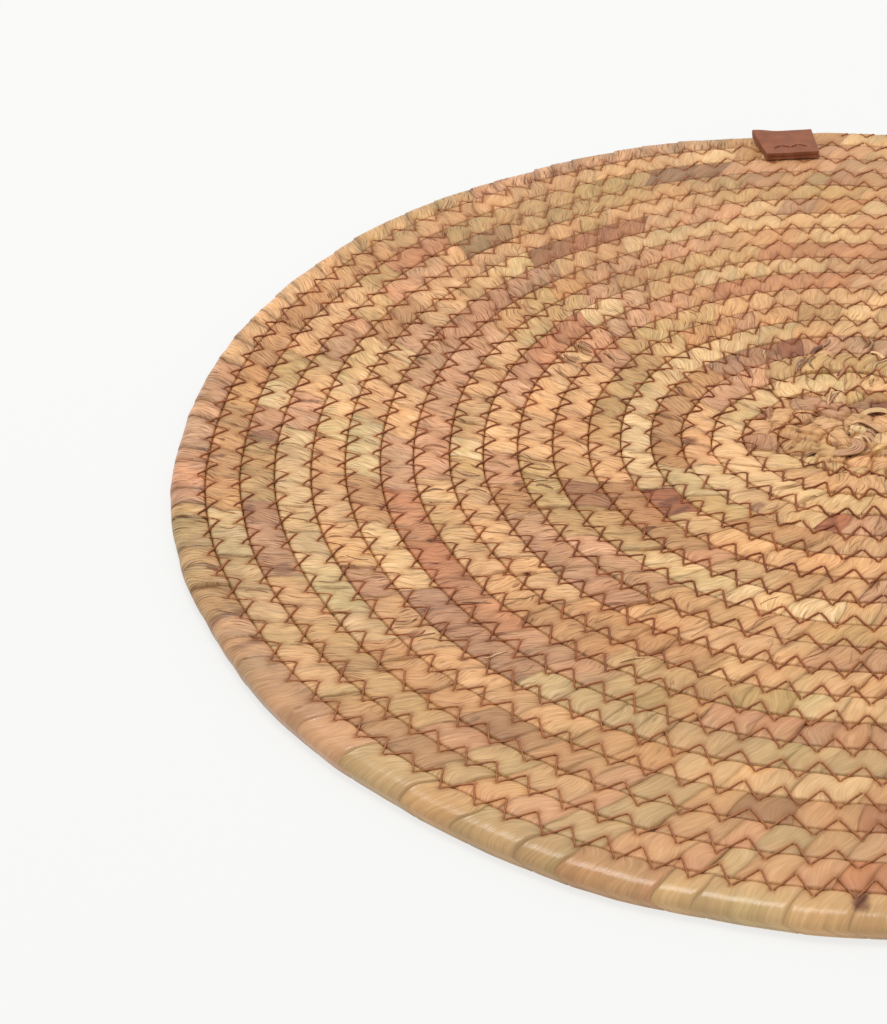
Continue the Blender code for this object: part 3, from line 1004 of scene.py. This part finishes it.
# What the stalk's tint is multiplied by: in its brightest fibres, whose cream tint is partly their own pale
# colour and partly a painted highlight; in its veins; in its painted glints; and at a wrap's edge, where a
# dark line is painted shade in the crease.
BRIGHT_FIBRE_AND_SHEEN = (1.10, 1.28, 1.72)
DARK_VEIN = (0.42, 0.26, 0.11)
GLINT = (1.16, 1.38, 2.0)
WRAP_EDGE_SHADE = (0.38, 0.24, 0.12)

THREAD_DARK = (114, 58, 26)
THREAD_WORN = (170, 97, 54)
THREAD_PALE = (166, 107, 67)
FLOOR_COLOUR = (0.16, 0.16, 0.157, 1.0)
FLOOR_GLOW = (1.0, 1.0, 0.985, 1.0)
FLOOR_HALF = 40.0
FLOOR_GAP = 0.0001  # how far the floor lies below the mat


def screen_colour(values):
    """A colour for a material, from its red, green and blue on a screen."""
    return (*linear(values), 1.0)


class Graph:
    """A material's nodes, added one after another."""

    def __init__(self, name, **constants):
        self.material = bpy.data.materials.new(name)
        self.material.use_nodes = True
        self.tree = self.material.node_tree
        self.shader = self.tree.nodes["Principled BSDF"]
        for socket, value in constants.items():
            self.shader.inputs[socket.replace("_", " ")].default_value = value

    def put(self, node, socket, value):
        target = node.inputs[socket]
        if isinstance(value, bpy.types.NodeSocket):
            self.tree.links.new(value, target)
        else:
            target.default_value = value

    def add(self, kind, *values, settings=(), **named):
        """A node with these inputs, given in order or by name. Returns its outputs."""
        node = self.tree.nodes.new(kind)
        for key, value in dict(settings).items():
            setattr(node, key, value)
        for socket, value in [*enumerate(values), *named.items()]:
            self.put(node, socket, value)
        return node.outputs

    def noise(self, vector, scale, detail=2.0, roughness=0.5):
        """Noise in 0 to 1, with scale's number of features to a unit of each of the vector's directions."""
        stretched = self.add("ShaderNodeMapping", Vector=vector, Scale=scale)[0]
        inputs = {"Vector": stretched, "Scale": 1.0, "Detail": detail, "Roughness": roughness}
        return self.add("ShaderNodeTexNoise", **inputs)[0]

    def range(self, value, low, high, to_low, to_high):
        return self.add("ShaderNodeMapRange", value, low, high, to_low, to_high)[0]

    def spread(self, noise, to_low, to_high):
        """Noise brought to another range."""
        return self.range(noise, 0.3, 0.7, to_low, to_high)

    def math(self, operation, first, second):
        return self.add("ShaderNodeMath", first, second, settings={"operation": operation})[0]

    def times(self, first, second):
        return self.math("MULTIPLY", first, second)

    def vector(self, operation, *values, **named):
        return self.add("ShaderNodeVectorMath", *values, settings={"operation": operation}, **named)[0]

    def tinted(self, colour, factors):
        """The colour times another."""
        return self.vector("MULTIPLY", colour, factors)

    def blend(self, factor, first, second):
        node = self.tree.nodes.new("ShaderNodeMix")
        node.data_type = "RGBA"
        for socket, value in ((0, factor), (6, first), (7, second)):
            self.put(node, socket, value)
        return node.outputs[2]

    def bump(self, height, distance, strength=1.0, **normal):
        return self.add("ShaderNodeBump", Height=height, Distance=distance, Strength=strength, **normal)[0]

    def finish(self, **inputs):
        for socket, value in inputs.items():
            self.put(self.shader, socket.replace("_", " "), value)
        return self.material


def hyacinth_material():
    """Dried stalk: the cord's tint, which already holds painted shade and sheen, with fine fibres and dark
    veins that run round the cord, painted glints, and painted shade along each wrap's edge.
    """
    g = Graph("hyacinth", Specular_IOR_Level=0.42)
    fibres = g.add("ShaderNodeUVMap", settings={"uv_map": "fibres"})[0]
    tint, glossy = g.add("ShaderNodeVertexColor", settings={"layer_name": "tint"})
    facts, smooth = g.add("ShaderNodeVertexColor", settings={"layer_name": "wrap"})
    before, edge, veined = g.add("ShaderNodeSeparateColor", Color=facts)
    rough = g.math("SUBTRACT", 1.0, smooth)

    bend = g.times(g.math("SUBTRACT", g.noise(fibres, (0.16, 0.13, 1.0), 0.0), 0.5), 2.6)
    fibres = g.vector("ADD", fibres, g.add("ShaderNodeCombineXYZ", X=bend)[0])
    fine = g.noise(fibres, (2.0, 0.17, 1.0), 3.0, 0.65)
    broad = g.noise(fibres, (0.9, 0.09, 1.0), 2.0)
    vein = g.noise(fibres, (1.9, 0.17, 2.0), 1.0, 0.4)
    bundle = g.noise(fibres, (0.35, 0.20, 3.0), 1.0)
    glint = g.noise(fibres, (2.3, 0.15, 5.0), 1.0, 0.4)

    contrast = g.range(rough, 0.0, 2.0, 0.25, 1.75)
    fine_light = g.times(g.spread(fine, -0.37, 0.35), contrast)
    light = g.times(g.math("ADD", fine_light, 1.0), g.spread(broad, 0.90, 1.10))
    colour = g.vector("SCALE", tint, Scale=light)
    # The brightest fibres turn cream: partly their own pale colour, partly a painted highlight.
    colour = g.blend(g.range(light, 1.0, 1.35, 0.0, 0.6), colour, g.tinted(tint, BRIGHT_FIBRE_AND_SHEEN))

    limit = g.math("ADD", g.range(veined, 0.0, 1.0, 0.31, 0.40), g.spread(bundle, -0.05, 0.05))
    lines = g.times(g.range(g.math("SUBTRACT", limit, vein), 0.0, 0.05, 0.0, 0.85), rough)
    colour = g.blend(lines, colour, g.tinted(tint, DARK_VEIN))
    # Painted glints: cream highlights on the fibres.
    glints = g.times(g.range(glint, 0.60, 0.72, 0.0, 0.50), rough)
    colour = g.blend(glints, colour, g.tinted(tint, GLINT))
    # Painted shade: a dark line in the crease at each wrap's edge.
    edge_shade_line = g.times(g.range(before, 0.05, 0.45, 1.0, 0.0), edge)
    colour = g.blend(edge_shade_line, colour, g.tinted(tint, WRAP_EDGE_SHADE))

    broad_bump = g.bump(broad, 0.00025, g.range(rough, 0.0, 0.6, 0.25, 0.6))
    normal = g.bump(fine, 0.00022, g.range(rough, 0.0, 1.2, 0.12, 1.0), Normal=broad_bump)
    gloss = g.math("SUBTRACT", g.spread(broad, 0.42, 0.56), g.times(glossy, 0.22))
    return g.finish(Base_Color=colour, Roughness=gloss, Normal=normal)


def thread_material():
    g = Graph("thread", Roughness=0.6, Specular_IOR_Level=0.3)
    place = g.add("ShaderNodeUVMap", settings={"uv_map": "fibres"})[0]
    pale = g.add("ShaderNodeVertexColor", settings={"layer_name": "pale"})[0]
    pale = g.add("ShaderNodeSeparateColor", Color=pale)[0]
    wear = g.range(g.noise(place, (0.08, 0.3, 1.0), 2.0), 0.35, 0.65, 0.0, 0.75)
    strand = g.noise(place, (2.2, 2.0, 1.0), 1.0)
    colour = g.blend(wear, screen_colour(THREAD_DARK), screen_colour(THREAD_WORN))
    colour = g.blend(g.times(pale, 0.8), colour, screen_colour(THREAD_PALE))
    colour = g.vector("SCALE", colour, Scale=g.spread(strand, 0.75, 1.15))
    return g.finish(Base_Color=colour, Normal=g.bump(strand, 0.0001, 0.8))


def leather_material(name, light, dark):
    g = Graph(name, Specular_IOR_Level=0.3)
    place = g.add("ShaderNodeTexCoord")["Object"]
    grain = g.add("ShaderNodeTexVoronoi", Vector=place, Scale=1500.0)[0]
    cloud = g.noise(place, (260.0, 260.0, 260.0), 3.0)
    colour = g.blend(g.range(cloud, 0.35, 0.65, 0.0, 1.0), screen_colour(dark), screen_colour(light))
    roughness = g.spread(cloud, 0.48, 0.64)
    return g.finish(Base_Color=colour, Roughness=roughness, Normal=g.bump(grain, 0.00008, 0.6))


def floor_material():
    """A lit studio sweep: its own glow keeps the shadows on it faint."""
    g = Graph("floor", Roughness=0.9, Specular_IOR_Level=0.1, Base_Color=FLOOR_COLOUR)
    return g.finish(Emission_Color=FLOOR_GLOW, Emission_Strength=0.73)


# The studio.

def make_floor():
    mesh = bpy.data.meshes.new("floor")
    corners = [(x * FLOOR_HALF, y * FLOOR_HALF, 0.0) for x, y in ((-1, -1), (1, -1), (1, 1), (-1, 1))]
    mesh.from_pydata(corners, [], [(0, 1, 2, 3)])
    floor = add_object("floor", mesh, floor_material())
    floor.location.z = -FLOOR_GAP


def make_light(name, azimuth, elevation, distance, size, power):
    """A square soft light that looks at the mat's middle."""
    data = bpy.data.lights.new(name, "AREA")
    data.shape = "SQUARE"
    data.size = size
    data.energy = power
    light = add_object(name, data)
    a, e = math.radians(azimuth), math.radians(elevation)
    place = Vector((math.cos(a) * math.cos(e), math.sin(a) * math.cos(e), math.sin(e))) * distance
    light.location = place
    light.rotation_euler = (-place).to_track_quat("-Z", "Y").to_euler()


def make_world(strength):
    world = bpy.data.worlds.new("studio")
    world.use_nodes = True
    background = world.node_tree.nodes["Background"]
    background.inputs["Color"].default_value = (1.0, 1.0, 1.0, 1.0)
    background.inputs["Strength"].default_value = strength
    bpy.context.scene.world = world


def make_camera():
    """The photograph's camera: it looks at the coil's centre, then turns to leave part of the mat out."""
    data = bpy.data.cameras.new("camera")
    data.sensor_fit = "VERTICAL"
    data.sensor_height = 36.0
    data.lens = CAMERA_LENS
    data.clip_start = 0.01
    camera = add_object("camera", data)
    e = math.radians(CAMERA_ELEVATION)
    place = Vector((0.0, -math.cos(e), math.sin(e))) * CAMERA_DISTANCE
    forward = -place.normalized()
    right = forward.cross(Vector((0.0, 0.0, 1.0))).normalized()
    axes = Matrix((right, right.cross(forward), -forward))
    for angle, axis in ((CAMERA_PAN, "Y"), (CAMERA_TILT, "X"), (CAMERA_ROLL, "Z")):
        axes = Matrix.Rotation(math.radians(angle), 3, axis) @ axes
    camera.matrix_world = Matrix.Translation(place) @ axes.transposed().to_4x4()
    bpy.context.scene.camera = camera


def build():
    make_camera()
    make_world(0.85)
    make_light("key", azimuth=140.0, elevation=74.0, distance=1.6, size=0.70, power=13.0)
    make_floor()
    hyacinth = hyacinth_material()
    thread = thread_material()
    tab = leather_material("leather", (142, 84, 56), (124, 70, 44))
    tab_thread = leather_material("tab_thread", (128, 70, 44), (104, 54, 32))
    sheets = [make_coil_piece(name, first, last, hyacinth) for name, first, last in COIL_PIECES]
    sewn_on = [
        make_thread("seam_thread_top", *thread_line(True), 5, "hyacinth", thread),
        make_thread("seam_thread_under", *thread_line(False), 4, "hyacinth", thread),
        make_loose_strips(hyacinth),
        make_folded_strips(hyacinth),
        make_tab(tab),
        make_tab_stitches(tab_thread),
    ]
    bpy.context.scene.view_settings.view_transform = "Standard"


build()
